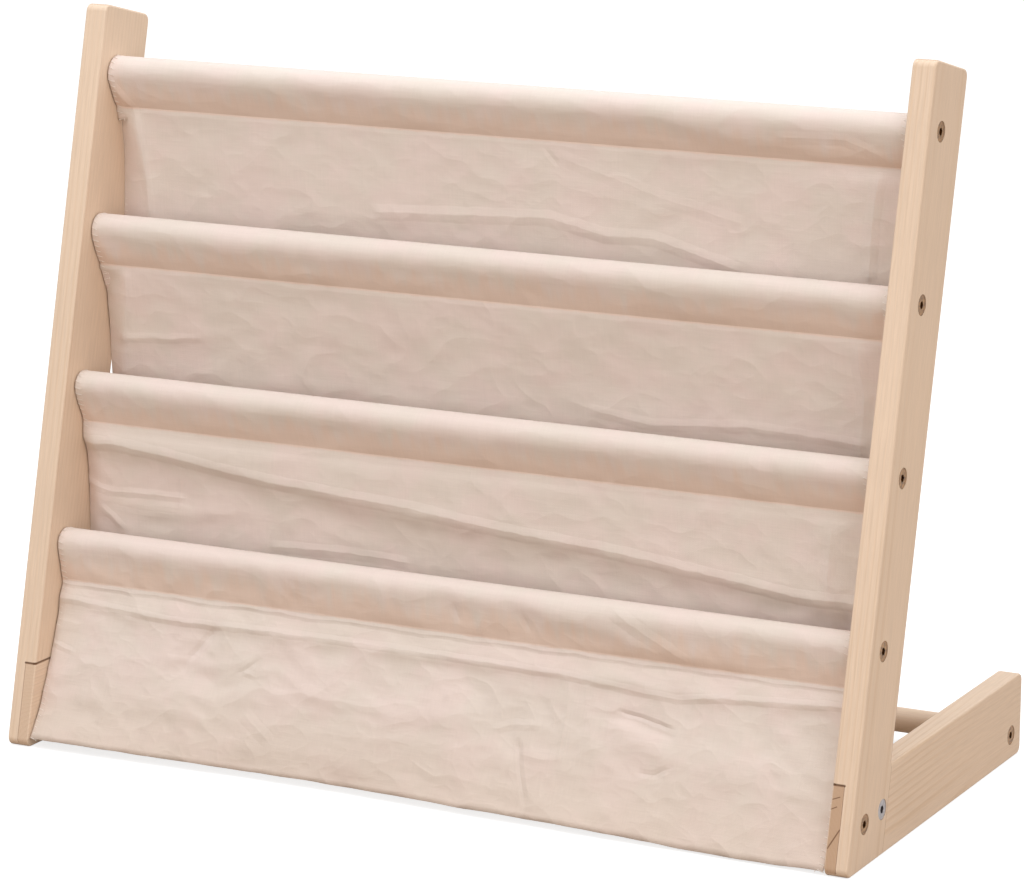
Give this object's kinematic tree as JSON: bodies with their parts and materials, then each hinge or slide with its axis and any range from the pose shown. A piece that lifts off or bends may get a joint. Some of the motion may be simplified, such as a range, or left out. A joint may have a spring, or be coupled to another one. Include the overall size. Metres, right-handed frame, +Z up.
{
  "type": "sling bookshelf",
  "caption": "Children's sling bookshelf: leaning wooden side frames joined by round rods, with a canvas sling that hangs over the rods in open pockets for picture books.",
  "frame": {"origin": "on the floor, under the middle of the bookshelf's bounding box", "axes": "+X to the right seen from the front, where the pockets face; +Y to the back, the way the uprights lean; +Z up"},
  "size_m": [0.658, 0.3254, 0.5261],
  "materials": {
    "frame_wood": "sanded pale softwood with rounded edges and a thin clear matt coat",
    "rod_wood": "sanded round dowel, uncoated",
    "canvas": "undyed cotton and linen canvas, plain weave, soft creases",
    "bronze_screw": "antique bronze plating, satin",
    "zinc_hardware": "zinc plated, satin"
  },
  "bodies": {
    "root": {"left_upright": "frame_wood", "left_foot": "frame_wood", "left_lap_bolt": "zinc_hardware", "left_lap_nut": "zinc_hardware", "left_pocket_rod_screw_1": "bronze_screw", "left_pocket_rod_screw_2": "bronze_screw", "left_pocket_rod_screw_3": "bronze_screw", "left_pocket_rod_screw_4": "bronze_screw", "left_bottom_rod_screw": "bronze_screw", "left_rear_rod_screw": "bronze_screw", "right_upright": "frame_wood", "right_foot": "frame_wood", "right_lap_bolt": "zinc_hardware", "right_lap_nut": "zinc_hardware", "right_pocket_rod_screw_1": "bronze_screw", "right_pocket_rod_screw_2": "bronze_screw", "right_pocket_rod_screw_3": "bronze_screw", "right_pocket_rod_screw_4": "bronze_screw", "right_bottom_rod_screw": "bronze_screw", "right_rear_rod_screw": "bronze_screw", "pocket_rod_1": "rod_wood", "pocket_rod_2": "rod_wood", "pocket_rod_3": "rod_wood", "pocket_rod_4": "rod_wood", "bottom_rod": "rod_wood", "rear_rod": "rod_wood", "canvas_sling": "canvas"}
  },
  "joints": []
}
